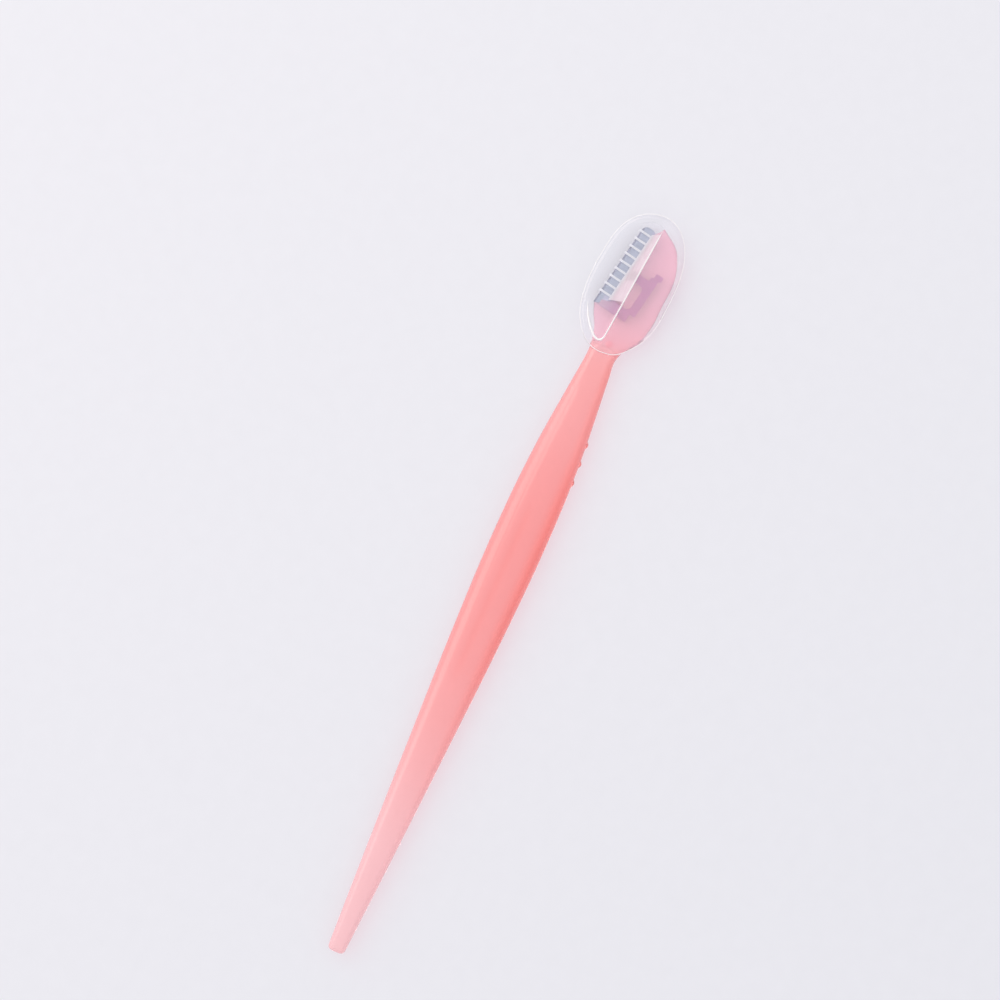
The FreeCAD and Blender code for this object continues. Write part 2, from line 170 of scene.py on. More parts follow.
def straight_through(points, x):
    """Straight runs from each point to the next."""
    places, values = zip(*points)
    return np.interp(x, places, values)


def ease(low, high, x):
    """Smooth rise from 0 at low to 1 at high, level at both ends."""
    t = np.clip((x - low) / (high - low), 0, 1)
    return t * t * (3 - 2 * t)


def blend(first, second, share):
    """All of the first at a share of 0 and all of the second at 1."""
    return first * (1 - share) + second * share


def side_arc(reach, half_height, turns):
    """Circle through the crown's edge, the rim and the underside's edge of the bar's bulging side.

    turns runs from 1 at the crown's edge through 0 at the rim to -1 at the underside's edge. The result is
    the distance in from the rim and the height over the rim.
    """
    radius = (reach**2 + half_height**2) / (2 * reach)
    angle = np.arctan2(half_height, radius - reach) * turns
    return radius * (1 - np.cos(angle)), radius * np.sin(angle)


def handle_stations():
    """Places of the sections in millimetres: nearly a quarter turn round the tail, then the stretches."""
    turn = np.linspace(0, TAIL_TURN, TAIL_STATIONS)
    runs = [BAR_ROWS[0][0] + TAIL_ROUND * (1 - np.cos(turn))]
    for start, end, spacing in STRETCHES:
        runs.append(np.linspace(start, end, round((end - start) / spacing), endpoint=False))
    return np.concatenate(runs)


def handle_lines(x):
    """Lines along the handle that its sections hang on, with one value for each station.

    Half width, underside and crown follow the rows and draw in round the tail. At the neck the spine, the
    step and the rim leave the bar's half width for the head's own lines.
    """
    half, under, crown, depth = np.split(smooth_through(BAR_ROWS, x), 4, axis=1)
    head_spine = smooth_through(SPINE_ROWS, x)
    head_lobe = smooth_through(LOBE_ROWS, x)
    x = x[:, None]
    end_drop = np.clip(TAIL_ROUND - (x - BAR_ROWS[0][0]), 0, TAIL_ROUND)
    inset = TAIL_ROUND - np.sqrt(TAIL_ROUND**2 - end_drop**2)
    half = half - inset
    crown = crown - inset
    under = np.maximum(under + inset, 0)

    widening = ease(NECK_END - NECK_WIDENING, NECK_END, x)
    step = np.where(x > NECK_END, straight_through(STEP_LINE, x), CROWN_SHARE * half)
    lobe = blend(half, head_lobe, widening)
    rim = np.where(x < LAND_EDGE[0][0], lobe, straight_through(LAND_EDGE, x))
    rim = np.maximum(rim, step + LEAST_LAND)
    spine = np.minimum(blend(-half, head_spine, widening), step - LEAST_PLATE)

    squaring = ease(*SPINE_SQUARING, x)
    bar_reach = (1 - CROWN_SHARE) * half
    head_reach = np.minimum(SPINE_ROUND, SPINE_ROUND_SHARE * (step - spine))
    spine_reach = blend(bar_reach, head_reach, squaring)
    crown_half = (step - spine - spine_reach) / 2
    doming = 1 - ease(NECK_END - CROWN_FLAT_RUN, NECK_END, x)
    return SimpleNamespace(
        x=x, half=half, under=under, crown=crown, depth=depth, spine=spine, step=step, rim=rim,
        middle=(crown + under) / 2, half_height=(crown - under) / 2,
        to_head=ease(*NECK_TO_HEAD, x), squaring=squaring, bar_reach=bar_reach, spine_reach=spine_reach,
        crown_fall=CROWN_FALL_SHARE * crown_half * doming,
        rim_round=np.minimum(RIM_ROUND, NARROW_LAND_SHARE * (rim - step)),
        land_middle=(LAND_TOP + under) / 2,
    )


def crown_columns(at):
    """Top of the section from the spine's round to the step: a parabola on the bar, flat on the head.

    A shallow flute with a bell-shaped section runs along the belly, and the button stands on the neck.
    """
    spread = (1 - np.cos(np.linspace(0, np.pi, CROWN_COLUMNS)))[None] / 2
    y = at.spine + at.spine_reach + (at.step - at.spine - at.spine_reach) * spread
    begun = ease(FLUTE_ENDS[0], FLUTE_ENDS[0] + FLUTE_RUN_OUT, at.x)
    ended = ease(FLUTE_ENDS[1] - FLUTE_RUN_OUT, FLUTE_ENDS[1], at.x)
    flute = begun * (1 - ended) * np.exp(-((y - FLUTE_SIDE) / FLUTE_WIDTH) ** 2)
    from_button = np.hypot(at.x - BUTTON_PLACE[0], y - BUTTON_PLACE[1])
    button = 1 - ease(BUTTON_TOP_SHARE * BUTTON_RADIUS, BUTTON_RADIUS, from_button)
    fall = at.crown_fall * (2 * spread - 1) ** 2
    z = at.crown - fall - FLUTE_DEPTH * flute + BUTTON_HEIGHT * button
    # The coral is painted deeper in the flute: painted shade in the groove.
    return y, z, at.depth + FLUTE_PAINTED_SHADE * flute


def blade_columns(at):
    """Blade side of the section from the step to the rim, an arc on the bar.

    On the head it is an eased wall, a flat land, thicker by the cover over the heel, and a quarter ellipse.
    """
    turns = np.linspace(1, 0, STEP_COLUMNS + LAND_COLUMNS + RIM_COLUMNS + 1)[None, 1:]
    width = at.rim - at.step
    bar_in, bar_up = side_arc(width, at.half_height - at.crown_fall, turns)
    wall = np.minimum(STEP_WIDTH, NARROW_LAND_SHARE * width)
    falls = np.linspace(0, 1, STEP_COLUMNS + 1)[None, 1:]
    flats = np.linspace(0, 1, LAND_COLUMNS + 1)[None, 1:]
    quarter = np.radians(np.linspace(0, 90, RIM_COLUMNS + 1))[None, 1:]
    wall_y = at.step + wall * falls
    land_y = at.step + wall + (width - wall - at.rim_round) * flats
    edge_y = at.rim - at.rim_round * (1 - np.sin(quarter))
    head_y = np.hstack([wall_y, land_y, edge_y])
    along, across = at.x - BLADE_HEEL[0], head_y - BLADE_HEEL[1]
    beyond_heel = along * math.cos(BLADE_TILT) - across * math.sin(BLADE_TILT)
    land = LAND_TOP + HEEL_COVER * (1 - ease(*HEEL_COVER_END, beyond_heel))
    fall = np.hstack([ease(0, 1, falls), np.ones_like(flats), np.ones_like(quarter)])
    rounding = np.hstack([np.ones_like(falls), np.ones_like(flats), np.cos(quarter)])
    head_z = at.land_middle + (at.crown + (land - at.crown) * fall - at.land_middle) * rounding
    y = blend(at.rim - bar_in, head_y, at.to_head)
    z = blend(at.middle + bar_up, head_z, at.to_head)
    return y, z, at.depth * (1 - LAND_PALENESS * at.to_head * fall)


def lower_columns(at):
    """Blade side from the rim to the underside: an arc on the bar, a quarter ellipse on the head."""
    turns = np.linspace(0, -1, RIM_COLUMNS + 1)[None, 1:]
    bar_in, bar_up = side_arc(at.bar_reach, at.half_height, turns)
    quarter = np.radians(np.linspace(0, 90, RIM_COLUMNS + 1))[None, 1:]
    head_y = at.rim - at.rim_round * (1 - np.cos(quarter))
    head_z = at.land_middle - (at.land_middle - at.under) * np.sin(quarter)
    return blend(at.rim - bar_in, head_y, at.to_head), blend(at.middle + bar_up, head_z, at.to_head)


def spine_columns(at):
    """Spine side from the underside to the crown: an arc on the bar, a squared ellipse on the head.

    Each grip bump stands out by a power of one less its squared distance from the bump's middle.
    """
    turns = np.linspace(-1, 1, SPINE_COLUMNS + 1)[None, 1:-1]
    bar_in, bar_up = side_arc(at.spine_reach, at.half_height - at.crown_fall * (turns > 0), turns)
    around = turns * np.pi / 2
    square_in = at.spine_reach * (1 - np.cos(around) ** (2 / SPINE_SQUARENESS))
    square_up = at.half_height * np.sign(turns) * np.abs(np.sin(around)) ** (2 / SPINE_SQUARENESS)
    y = at.spine + blend(bar_in, square_in, at.squaring)
    z = at.middle + blend(bar_up, square_up, at.squaring)
    for place in GRIP_BUMP_PLACES:
        away = np.hypot(at.x - place, z - at.middle) / GRIP_BUMP_REACH
        y = y - GRIP_BUMP_PROUD * np.clip(1 - away**2, 0, 1) ** GRIP_BUMP_FALL
    return y, z


def handle_sections(x):
    """One closed section for each station: columns of x, y and z round the bar, and the coral's depth with
    painted shade added along the spine side and in the flute.

    A section runs along the crown, down the blade side, straight across the underside and up the spine.
    """
    at = handle_lines(x)
    crown_y, crown_z, crown_depth_and_shade = crown_columns(at)
    blade_y, blade_z, blade_depth = blade_columns(at)
    lower_y, lower_z = lower_columns(at)
    spine_y, spine_z = spine_columns(at)
    spans = np.linspace(0, 1, UNDERSIDE_COLUMNS + 1)[None, 1:]
    lower_end = lower_y[:, -1:]
    under_y = lower_end + (at.spine + at.spine_reach - lower_end) * spans
    under_z = at.under + 0 * under_y
    rim_depth = blade_depth[:, -1:]
    lower_depth = rim_depth + 0 * lower_y
    under_depth = rim_depth + (at.depth - rim_depth) * spans
    spine_depth = at.depth + 0 * spine_y
    y = np.hstack([crown_y, blade_y, lower_y, under_y, spine_y])
    z = np.hstack([crown_z, blade_z, lower_z, under_z, spine_z])
    depths_and_shade = np.hstack([crown_depth_and_shade, blade_depth, lower_depth, under_depth, spine_depth])
    # Painted shade: the coral is painted deeper towards the spine side, the side away from the lamp.
    near_spine = (1 - at.to_head) * ease(*SPINE_BAND_SHARES, -y / at.half)
    return at.x + 0 * y, y, z, depths_and_shade * (1 + SPINE_PAINTED_SHADE * at.depth**2 * near_spine)


def closed_tube(name, x, y, z, ring=False):
    """Mesh of closed sections side by side: a ring joins the last to the first, else fans close the ends."""
    stations, columns = y.shape
    points = np.dstack([x, y, z]).reshape(-1, 3)
    row = np.arange(stations if ring else stations - 1)[:, None]
    start = row * columns
    end = (row + 1) % stations * columns
    here = np.arange(columns)[None]
    following = (here + 1) % columns
    quads = np.dstack([start + here, end + here, end + following, start + following])
    faces = quads.reshape(-1, 4).tolist()
    if not ring:
        ends = np.array([points[:columns].mean(axis=0), points[-columns:].mean(axis=0)])
        points = np.vstack([points, ends])
        last = (stations - 1) * columns
        first_fan = np.dstack([np.full_like(here, stations * columns), here, following])
        last_fan = np.dstack([np.full_like(here, stations * columns + 1), last + following, last + here])
        faces = faces + first_fan[0].tolist() + last_fan[0].tolist()
    mesh = bpy.data.meshes.new(name)
    mesh.from_pydata((points * MM).tolist(), [], faces)
    mesh.polygons.foreach_set("use_smooth", np.ones(len(mesh.polygons), bool))
    mesh.update()
    piece = bpy.data.objects.new(name, mesh)
    bpy.context.collection.objects.link(piece)
    return piece


def linear(code):
    """Linear colour of an sRGB hex value."""
    channels = np.array([int(code[i:i + 2], 16) for i in (0, 2, 4)]) / 255
    light = np.where(channels <= 0.04045, channels / 12.92, ((channels + 0.055) / 1.055) ** 2.4)
    return (*light.tolist(), 1.0)


def add_node(tree, kind, sockets=None, **settings):
    """Adds a node, sets its options, and fills its sockets with values or with links from other nodes."""
    made = tree.nodes.new(kind)
    for name, value in settings.items():
        setattr(made, name, value)
    for name, value in (sockets or {}).items():
        if isinstance(value, bpy.types.NodeSocket):
            tree.links.new(value, made.inputs[name])
        else:
            made.inputs[name].default_value = value
    return made


def new_material(name):
    """Material with an empty node tree."""
    material = bpy.data.materials.new(name)
    material.use_nodes = True
    material.node_tree.nodes.clear()
    return material


def pass_lamps(tree, plastic, film_colour):
    """Output of clear plastic that lets lamp light and scattered light through, tinted by a film."""
    path = add_node(tree, "ShaderNodeLightPath")
    passing = add_node(tree, "ShaderNodeMath", {
        0: path.outputs["Is Shadow Ray"], 1: path.outputs["Is Diffuse Ray"],
    }, operation="MAXIMUM")
    film = add_node(tree, "ShaderNodeBsdfTransparent", {"Color": linear(film_colour)})
    mix = add_node(tree, "ShaderNodeMixShader", {
        0: passing.outputs[0], 1: plastic.outputs[0], 2: film.outputs[0],
    })
    return add_node(tree, "ShaderNodeOutputMaterial", {"Surface": mix.outputs[0]})


def coral_polystyrene():
    """Coral polystyrene, clear enough to show what lies under it, with flow streaks and a soft haze.

    It deepens with the depth that each point carries, which includes painted shade along the spine side and
    in the flute. The head is clearer and smoother than the bar.
    """
    material = new_material("coral_polystyrene_moulded")
    tree = material.node_tree
    place = add_node(tree, "ShaderNodeTexCoord")
    flow = add_node(tree, "ShaderNodeTexNoise", {
        "Vector": place.outputs["Object"], "Scale": 1 / (FLOW_SIZE * MM), "Detail": 3.0,
    })
    haze = add_node(tree, "ShaderNodeTexNoise", {
        "Vector": place.outputs["Object"], "Scale": 1 / (HAZE_SIZE * MM), "Detail": 2.0,
    })
    depth = add_node(tree, "ShaderNodeAttribute", attribute_name="depth")
    streaked = add_node(tree, "ShaderNodeMath", {
        0: flow.outputs["Fac"], 1: FLOW_DEEPENING, 2: depth.outputs["Fac"],
    }, operation="MULTIPLY_ADD")
    deepened = add_node(tree, "ShaderNodeMapRange", {
        "Value": streaked.outputs[0], "From Min": CORAL_DEPTHS[0], "From Max": CORAL_DEPTHS[1],
    })
    along = add_node(tree, "ShaderNodeSeparateXYZ", {"Vector": place.outputs["Object"]})
    neck = {"Value": along.outputs["X"], "From Min": NECK_END * MM, "From Max": NECK_TO_HEAD[1] * MM}
    in_head = add_node(tree, "ShaderNodeMapRange", neck)
    pale = add_node(tree, "ShaderNodeMix", {
        "Factor": in_head.outputs["Result"], "A": linear(CORAL_ON_BAR), "B": linear(CORAL_IN_HEAD),
    }, data_type="RGBA")
    tint = add_node(tree, "ShaderNodeMix", {
        "Factor": deepened.outputs["Result"], "A": pale.outputs["Result"], "B": linear(CORAL_DEEP),
    }, data_type="RGBA")
    clear = add_node(tree, "ShaderNodeMapRange", {
        **neck, "To Min": CORAL_CLEARNESS[0], "To Max": CORAL_CLEARNESS[1],
    })
    smooth = add_node(tree, "ShaderNodeMapRange", {
        **neck, "To Min": CORAL_ROUGHNESS[0], "To Max": CORAL_ROUGHNESS[1],
    })
    dull = add_node(tree, "ShaderNodeMath", {
        0: haze.outputs["Fac"], 1: HAZE_ROUGHNESS, 2: smooth.outputs["Result"],
    }, operation="MULTIPLY_ADD")
    skin = add_node(tree, "ShaderNodeBump", {
        "Height": haze.outputs["Fac"], "Strength": 0.15, "Distance": HAZE_DEPTH * MM,
    })
    plastic = add_node(tree, "ShaderNodeBsdfPrincipled", {
        "Base Color": tint.outputs["Result"], "Roughness": dull.outputs[0],
        "IOR": POLYSTYRENE_IOR, "Transmission Weight": clear.outputs["Result"],
        "Normal": skin.outputs["Normal"],
    })
    out = pass_lamps(tree, plastic, CORAL_FILM)
    body = add_node(tree, "ShaderNodeVolumeAbsorption", {
        "Color": linear(CORAL_BODY), "Density": CORAL_ABSORPTION,
    })
    tree.links.new(body.outputs[0], out.inputs["Volume"])
    return material


*handle_places, handle_depths_and_shade = handle_sections(handle_stations())
handle = closed_tube("handle_moulding", *handle_places)
end_depths = [handle_depths_and_shade[0].mean(), handle_depths_and_shade[-1].mean()]
# The depth attribute carries the coral's depth together with the painted shade of the spine side and the
# flute.
depth_layer = handle.data.attributes.new("depth", "FLOAT", "POINT")
depth_layer.data.foreach_set("value", np.append(handle_depths_and_shade.ravel(), end_depths))
handle.data.materials.append(coral_polystyrene())
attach(handle, "razor")
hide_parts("handle")


# Blade. A stamped strip of stainless steel, ground to an edge on both faces, with a heel band and a tang
# that the head is moulded round, so only the strip along the edge lies bare.

TOWARDS_EDGE = (math.sin(BLADE_TILT), math.cos(BLADE_TILT))
TOWARDS_TOE = (math.cos(BLADE_TILT), -math.sin(BLADE_TILT))

# Distances from the cutting edge over which the ground edge, the windows and the bare strip begin
GROUND_EDGE = (-0.42, -0.3)
WINDOW_DEPTH = (-1.25, -0.95)
SUNK_DEPTH = (-4.2, -1.8)

# Size of a grinding line along the edge, across it and through the blade; darkest and lightest steel
GRINDING_LINE = (0.12, 4.0, 4.0)
GRINDING_DEPTH = 0.01
STEEL_BARE = ("959BAC", "BBC0D2")
# Painted light: the steel at the heel and under the coral, lit by light that the coral filters.
STEEL_HEEL_PAINTED_LIGHT = ("B4B2C6", "CAC8DA")
STEEL_UNDER_CORAL_PAINTED_LIGHT = ("A476AC", "C28CC8")
# Painted shade along the ground edge.
STEEL_EDGE_PAINTED_SHADE = "6C7082"
STEEL_ROUGHNESS = (0.28, 0.42)


def ramp_from_heel(tree, place, direction, near, far):
    """Rise from 0 to 1 between two distances from the blade's heel corner, along a direction."""
    reach = add_node(tree, "ShaderNodeVectorMath", {
        0: place.outputs["Object"], 1: (*direction, 0.0),
    }, operation="DOT_PRODUCT")
    heel = float(np.dot(BLADE_HEEL, direction))
    ramp = add_node(tree, "ShaderNodeMapRange", {
        "Value": reach.outputs["Value"], "From Min": (heel + near) * MM, "From Max": (heel + far) * MM,
    })
    return ramp.outputs["Result"]


def ground_steel():
    """Ground stainless steel: cool grey with fine lines square to the edge, with painted shade along the
    ground edge.

    It is painted lavender at the heel and mauve on the tang: painted light, for the light that the coral
    over them filters.
    """
    material = new_material("ground_stainless_steel")
    tree = material.node_tree
    place = add_node(tree, "ShaderNodeTexCoord")
    turned = add_node(tree, "ShaderNodeMapping", {
        "Vector": place.outputs["Object"], "Rotation": (0.0, 0.0, BLADE_TILT),
        "Scale": [1 / (size * MM) for size in GRINDING_LINE],
    })
    lines = add_node(tree, "ShaderNodeTexNoise", {
        "Vector": turned.outputs["Vector"], "Scale": 1.0, "Detail": 4.0,
    })
    bare, heel_painted_light, under_coral_painted_light = (
        add_node(tree, "ShaderNodeMix", {
            "Factor": lines.outputs["Fac"], "A": linear(darkest), "B": linear(lightest),
        }, data_type="RGBA")
        for darkest, lightest in (STEEL_BARE, STEEL_HEEL_PAINTED_LIGHT, STEEL_UNDER_CORAL_PAINTED_LIGHT)
    )
    uncovered = add_node(tree, "ShaderNodeMath", {
        0: ramp_from_heel(tree, place, TOWARDS_TOE, *HEEL_COVER_END),
        1: ramp_from_heel(tree, place, TOWARDS_EDGE, *WINDOW_DEPTH),
    }, operation="MAXIMUM")
    strip = add_node(tree, "ShaderNodeMix", {
        "Factor": uncovered.outputs[0], "A": heel_painted_light.outputs["Result"], "B": bare.outputs["Result"],
    }, data_type="RGBA")
    # Painted shade: the ground edge is darkened.
    edged = add_node(tree, "ShaderNodeMix", {
        "Factor": ramp_from_heel(tree, place, TOWARDS_EDGE, *GROUND_EDGE),
        "A": strip.outputs["Result"], "B": linear(STEEL_EDGE_PAINTED_SHADE),
    }, data_type="RGBA")
    shade = add_node(tree, "ShaderNodeMix", {
        "Factor": ramp_from_heel(tree, place, TOWARDS_EDGE, *SUNK_DEPTH),
        "A": under_coral_painted_light.outputs["Result"], "B": edged.outputs["Result"],
    }, data_type="RGBA")
    dull = add_node(tree, "ShaderNodeMapRange", {
        "Value": lines.outputs["Fac"], "To Min": STEEL_ROUGHNESS[0], "To Max": STEEL_ROUGHNESS[1],
    })
    grind = add_node(tree, "ShaderNodeBump", {
        "Height": lines.outputs["Fac"], "Strength": 0.3, "Distance": GRINDING_DEPTH * MM,
    })
    steel = add_node(tree, "ShaderNodeBsdfPrincipled", {
        "Base Color": shade.outputs["Result"], "Metallic": 1.0, "Roughness": dull.outputs["Result"],
        "Normal": grind.outputs["Normal"],
    })
    add_node(tree, "ShaderNodeOutputMaterial", {"Surface": steel.outputs[0]})
    return material


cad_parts["blade"].material_slots[0].material = ground_steel()


# Comb guard. Natural, uncoloured polypropylene moulded over the cutting edge: nine thin ribs wrap the edge
# and join in a flat spine between the bare steel and the step of the handle.

# Distances from the cutting edge over which the spine gives way to the ribs
COMB_SPINE_DEPTH = (-2.6, -1.9)

# Size of a flow streak along the edge, across it and through the comb; darkest and lightest plastic
COMB_STREAK = (2.5, 0.25, 2.5)
COMB_RIBS = ("F0F1FA", "FCFCFF")
# The spine's pink is a painted glow of the coral beside it.
COMB_SPINE_CORAL_GLOW = ("E2C4D0", "FFF4F8")
COMB_FILM = "E8E8EE"
COMB_ROUGHNESS = (0.35, 0.5)
COMB_CLEARNESS = 0.25
POLYPROPYLENE_IOR = 1.49


def natural_polypropylene():
    """Uncoloured polypropylene: white ribs, and a streaked spine painted pink with the glow of the coral
    beside it.
    """
    material = new_material("natural_polypropylene")
    tree = material.node_tree
    place = add_node(tree, "ShaderNodeTexCoord")
    turned = add_node(tree, "ShaderNodeMapping", {
        "Vector": place.outputs["Object"], "Rotation": (0.0, 0.0, BLADE_TILT),
        "Scale": [1 / (size * MM) for size in COMB_STREAK],
    })
    streaks = add_node(tree, "ShaderNodeTexNoise", {
        "Vector": turned.outputs["Vector"], "Scale": 1.0, "Detail": 2.0,
    })
    ribs, spine = (
        add_node(tree, "ShaderNodeMix", {
            "Factor": streaks.outputs["Fac"], "A": linear(darkest), "B": linear(lightest),
        }, data_type="RGBA")
        for darkest, lightest in (COMB_RIBS, COMB_SPINE_CORAL_GLOW)
    )
    shade = add_node(tree, "ShaderNodeMix", {
        "Factor": ramp_from_heel(tree, place, TOWARDS_EDGE, *COMB_SPINE_DEPTH),
        "A": spine.outputs["Result"], "B": ribs.outputs["Result"],
    }, data_type="RGBA")
    dull = add_node(tree, "ShaderNodeMapRange", {
        "Value": streaks.outputs["Fac"], "To Min": COMB_ROUGHNESS[0], "To Max": COMB_ROUGHNESS[1],
    })
    plastic = add_node(tree, "ShaderNodeBsdfPrincipled", {
        "Base Color": shade.outputs["Result"], "Roughness": dull.outputs["Result"],
        "IOR": POLYPROPYLENE_IOR, "Transmission Weight": COMB_CLEARNESS,
    })
    pass_lamps(tree, plastic, COMB_FILM)
    return material


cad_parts["comb_guard"].material_slots[0].material = natural_polypropylene()


# Cap. A flat oval sheath of clear polystyrene that slides over the head from its tip and snaps over the
# button with the ring at its lip. A lowered half-leaf panel lies over the blade.

CAP_TINT = "FEFEFF"
CAP_CLEARNESS = 0.98
CAP_ROUGHNESS = (0.01, 0.05)
CAP_GRAIN_SIZE = 0.6
CAP_WAVE_SIZE = 5.0
CAP_WAVE_DEPTH = 0.05
THIN_WALL_IOR = 1.1


def clear_polystyrene():
    """Clear polystyrene in a thin wall, which bends light less than a solid block, with a faint wave.

    A coat with the plastic's own IOR gives it back its gloss.
    """
    material = new_material("clear_polystyrene")
    tree = material.node_tree
    place = add_node(tree, "ShaderNodeTexCoord")
    wave = add_node(tree, "ShaderNodeTexNoise", {
        "Vector": place.outputs["Object"], "Scale": 1 / (CAP_WAVE_SIZE * MM), "Detail": 1.0,
    })
    grain = add_node(tree, "ShaderNodeTexNoise", {
        "Vector": place.outputs["Object"], "Scale": 1 / (CAP_GRAIN_SIZE * MM), "Detail": 2.0,
    })
    dull = add_node(tree, "ShaderNodeMapRange", {
        "Value": grain.outputs["Fac"], "To Min": CAP_ROUGHNESS[0], "To Max": CAP_ROUGHNESS[1],
    })
    skin = add_node(tree, "ShaderNodeBump", {
        "Height": wave.outputs["Fac"], "Strength": 0.2, "Distance": CAP_WAVE_DEPTH * MM,
    })
    plastic = add_node(tree, "ShaderNodeBsdfPrincipled", {
        "Base Color": linear(CAP_TINT), "Roughness": dull.outputs["Result"],
        "IOR": THIN_WALL_IOR, "Transmission Weight": CAP_CLEARNESS, "Normal": skin.outputs["Normal"],
        "Coat Weight": 0.8, "Coat Roughness": 0.03, "Coat IOR": POLYSTYRENE_IOR,
    })
    pass_lamps(tree, plastic, CAP_TINT)
    return material


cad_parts["cap"].material_slots[0].material = clear_polystyrene()


# Bead of the cap. A low round bead moulded along the straight step of the panel, round its corner at
# the lip and up the blade side, where it runs out. It is part of the cap, with a finely frosted white skin:
# its round catches the lamp, and its white frost paints the highlight along the step.

BEAD_PATH = [
    (60.75, -0.90), (57.0, -0.57), (50.0, 0.04), (43.0, 0.64), (40.2, 0.88), (39.2, 1.02), (38.6, 1.32),
    (38.4, 1.85), (38.65, 2.55), (39.4, 3.45), (40.6, 4.45), (42.1, 5.38), (43.4, 5.98), (44.6, 6.38),
]
BEAD_PROUD = 0.16
CAP_TOP = 4.8

# Half widths before and after the corner, and the stretch of the path over which they change
BEAD_HALF_WIDTHS = (0.13, 0.2)
BEAD_CORNER = (21.0, 23.0)

# Lengths over which the bead runs out at its two ends, and how far past them it comes to a point
BEAD_RUN_OUT = (2.5, 4.0)
BEAD_POINT = 0.02
BEAD_STATIONS = 260
BEAD_SIDES = 16

# White frost that paints the highlights along the cap's step and edge.
HIGHLIGHT_FROST_TINT = "FDFBFC"
FROST_FILM = "F6F6F8"
FROST_SIZE = 0.3
FROST_ROUGHNESS = (0.25, 0.45)
FROST_CLEARNESS = 0.25


def path_lengths(points):
    """Length of the straight runs from the first point to each point."""
    return np.concatenate([[0], np.cumsum(np.hypot(*np.diff(points, axis=0).T))])


def carried_ellipse(points, along, half_width, half_height, height, sides):
    """Upright ellipse carried along the smooth curve through level points, square to the curve.

    along holds the distances of the sections, and the two halves their sizes.
    """
    middle = smooth_through(np.column_stack([path_lengths(points), points]), along)
    heading = np.gradient(middle, along, axis=0)
    heading = heading / np.linalg.norm(heading, axis=1, keepdims=True)
    turn = np.linspace(0, 2 * np.pi, sides, endpoint=False)
    out = half_width[:, None] * np.cos(turn)
    x = middle[:, :1] - heading[:, 1:] * out
    y = middle[:, 1:] + heading[:, :1] * out
    return x, y, height + half_height[:, None] * np.sin(turn)


def bead_surface():
    """Ellipse carried along the bead's path on top of the cap, wider past the corner.

    Its size is an eased rise at the start times an eased fall at the end.
    """
    end = path_lengths(BEAD_PATH)[-1]
    along = np.linspace(0, end, BEAD_STATIONS)
    begun = ease(-BEAD_POINT, BEAD_RUN_OUT[0], along)
    ended = ease(end - BEAD_RUN_OUT[1], end + BEAD_POINT, along)
    size = begun * (1 - ended)
    half_width = blend(*BEAD_HALF_WIDTHS, ease(*BEAD_CORNER, along))
    return carried_ellipse(BEAD_PATH, along, half_width * size, BEAD_PROUD * size, CAP_TOP, BEAD_SIDES)


def frosted_polystyrene_painted_highlight():
    """Clear polystyrene with a fine white frost, which scatters light and reads as a white line: a painted
    highlight.
    """
    material = new_material("frosted_polystyrene_painted_highlight")
    tree = material.node_tree
    place = add_node(tree, "ShaderNodeTexCoord")
    frost = add_node(tree, "ShaderNodeTexNoise", {
        "Vector": place.outputs["Object"], "Scale": 1 / (FROST_SIZE * MM), "Detail": 2.0,
    })
    dull = add_node(tree, "ShaderNodeMapRange", {
        "Value": frost.outputs["Fac"], "To Min": FROST_ROUGHNESS[0], "To Max": FROST_ROUGHNESS[1],
    })
    plastic = add_node(tree, "ShaderNodeBsdfPrincipled", {
        "Base Color": linear(HIGHLIGHT_FROST_TINT), "Roughness": dull.outputs["Result"],
        "IOR": POLYSTYRENE_IOR, "Transmission Weight": FROST_CLEARNESS,
    })
    pass_lamps(tree, plastic, FROST_FILM)
    return material


bead = closed_tube("cap_bead", *bead_surface())
bead.data.materials.append(frosted_polystyrene_painted_highlight())
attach(bead, "cap")


# Edge highlight of the cap. A hair-fine frosted white line all round the upper edge, part of the cap and
# frosted like the bead: a painted highlight that draws the pale outline of the clear cap.

CAP_EDGE_ROUND = 0.7
RIM_LINE_RADIUS = 0.09
RIM_LINE_SIDES = 10
RIM_DIRECTIONS = 720
RIM_KNOTS = 64
RIM_STATIONS = 320


def cap_outline():
    """Outline of the cap from above: its outermost corner in many directions, then knots at even steps."""
    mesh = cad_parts["cap"].data
    corners = np.empty(3 * len(mesh.vertices))
    mesh.vertices.foreach_get("co", corners)
    plan = corners.reshape(-1, 3)[:, :2] / MM
    turn = np.linspace(0, 2 * np.pi, RIM_DIRECTIONS, endpoint=False)
    outermost = plan[np.argmax(plan @ np.vstack([np.cos(turn), np.sin(turn)]), axis=0)]
    closed = np.vstack([outermost, outermost[:1]])
    lengths = path_lengths(closed)
    knots = np.linspace(0, lengths[-1], RIM_KNOTS, endpoint=False)
    return np.column_stack([np.interp(knots, lengths, side) for side in closed.T])


def rim_surface():
    """Circle carried round the cap's outline, at the height where the round of its upper edge begins."""
    outline = cap_outline()
    points = np.vstack([outline[-2:], outline, outline[:3]])
    lengths = path_lengths(points)
    along = np.linspace(lengths[2], lengths[-3], RIM_STATIONS, endpoint=False)
    radius = np.full(RIM_STATIONS, RIM_LINE_RADIUS)
    return carried_ellipse(points, along, radius, radius, CAP_TOP - CAP_EDGE_ROUND, RIM_LINE_SIDES)


edge_highlight_line = closed_tube("cap_edge_highlight", *rim_surface(), ring=True)
edge_highlight_line.data.materials.append(bead.data.materials[0])
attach(edge_highlight_line, "cap")


# Table and light. A plain pale board, lit evenly from all round by a soft sky and from the upper left
# of the picture by one large soft lamp.

BOARD_SIZE = 4000.0
BOARD_DROP = 0.05
BOARD_TOOTH = 3.0
BOARD_SHADES = ("E5E6EC", "E8E9EF")

